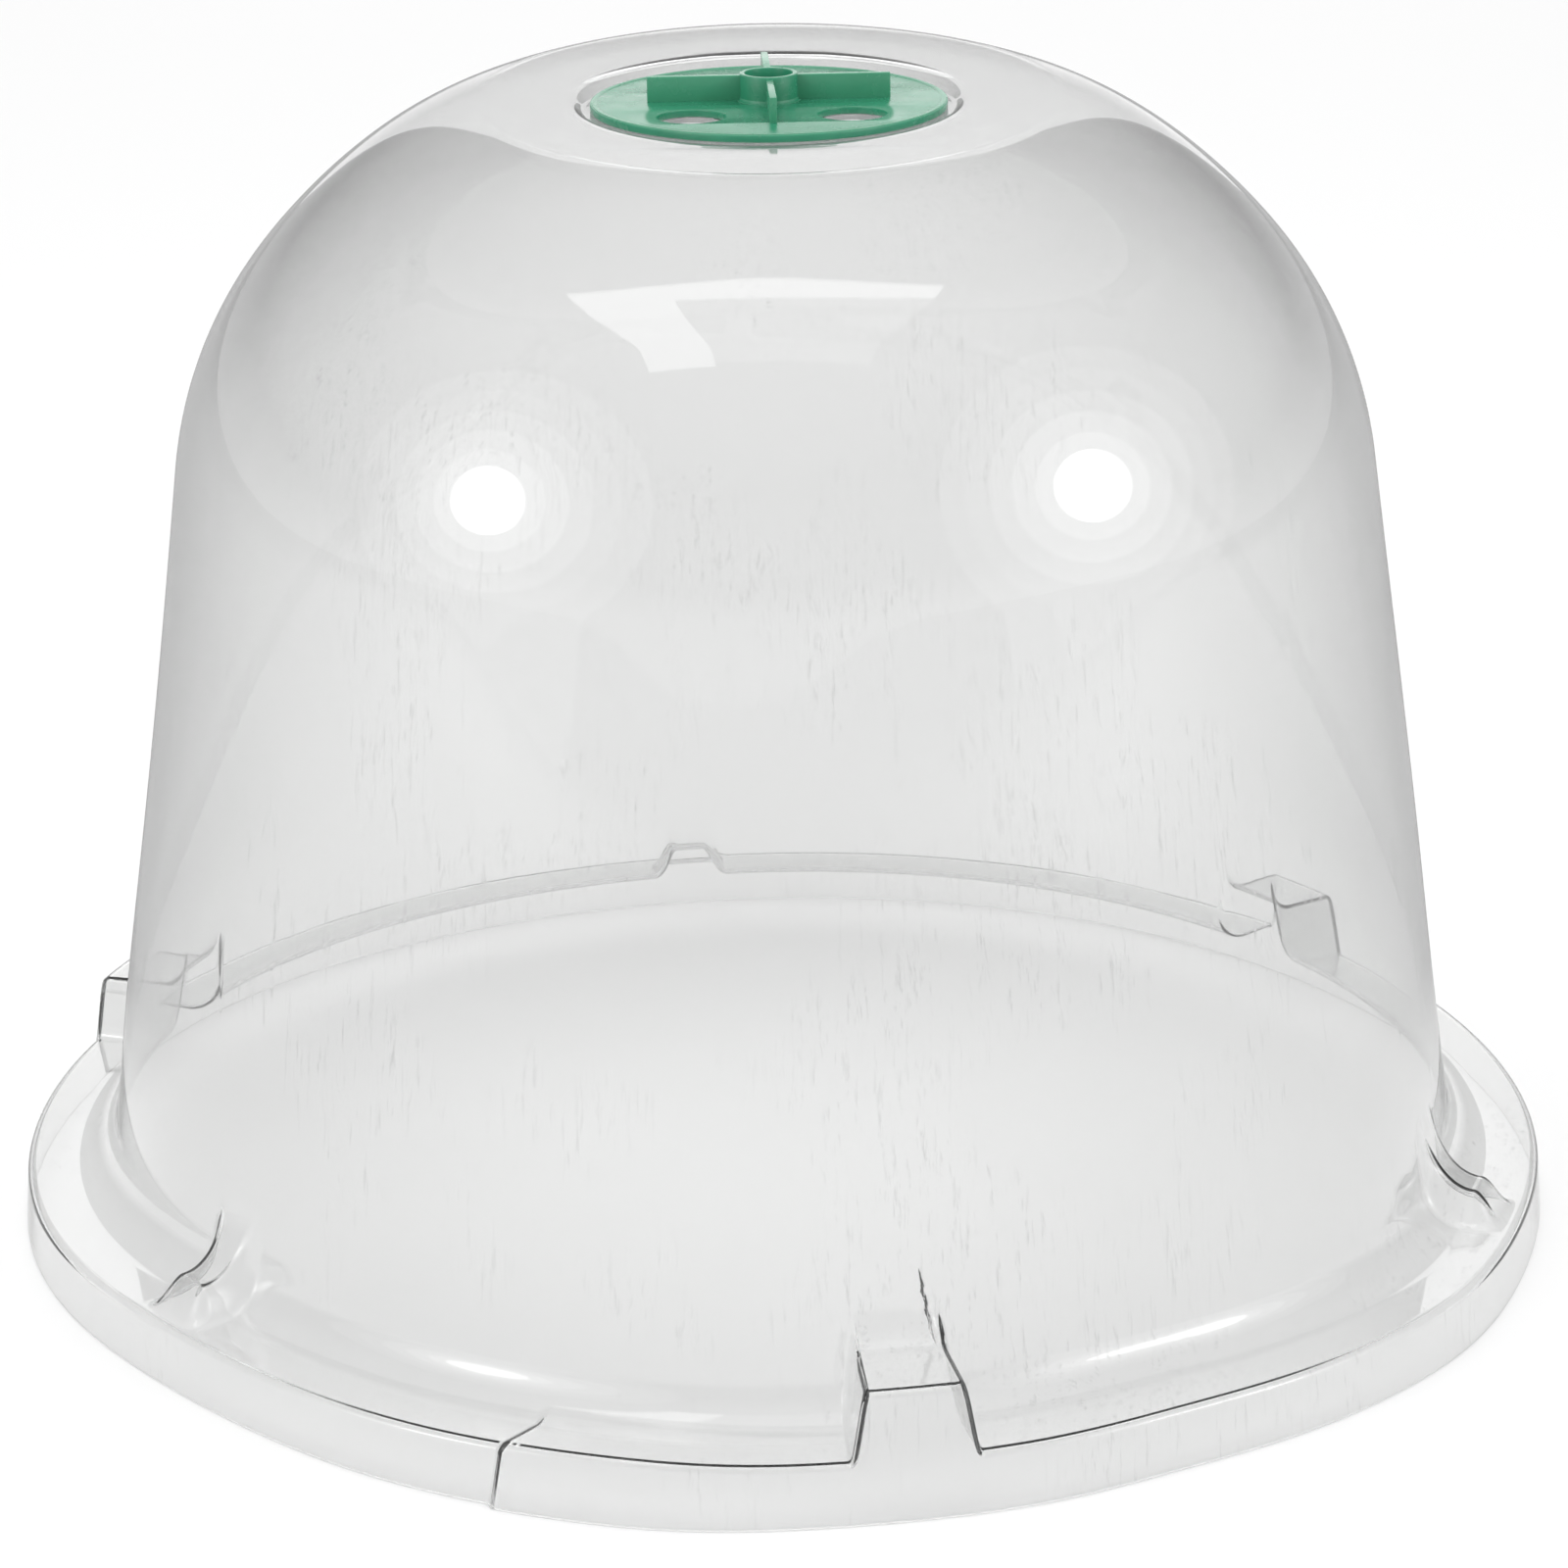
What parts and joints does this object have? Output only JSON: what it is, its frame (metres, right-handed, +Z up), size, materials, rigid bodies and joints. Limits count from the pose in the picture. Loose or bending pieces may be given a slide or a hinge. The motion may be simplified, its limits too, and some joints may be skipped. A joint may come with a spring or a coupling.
{
  "type": "plant bell cloche",
  "caption": "Clear bell-shaped humidity dome with a turned-down flange and a round vent disc with a cross grip that turns in a seat in the crown.",
  "frame": {"origin": "on the bell's axis, at the level of the skirt's lower edge, which stands on the ground", "axes": "+Z up along the bell's axis and the vent's turning axis; -Y is the side seen from the front, with one stacking block just right of it"},
  "size_m": [0.26, 0.26, 0.191],
  "materials": {
    "clear_sheet": "clear vacuum-formed PET sheet, glossy, with light scuffs",
    "green_moulding": "satin injection-moulded green polypropylene"
  },
  "bodies": {
    "dome": {"dome_shell": "clear_sheet"},
    "vent": {"vent_disc": "green_moulding", "vent_rivet": "green_moulding"}
  },
  "joints": [
    {"name": "vent_turn", "type": "hinge", "parent": "dome", "child": "vent", "pos_m": [0, 0, 0.1855], "axis": [0, 0, 1], "continuous": true}
  ]
}
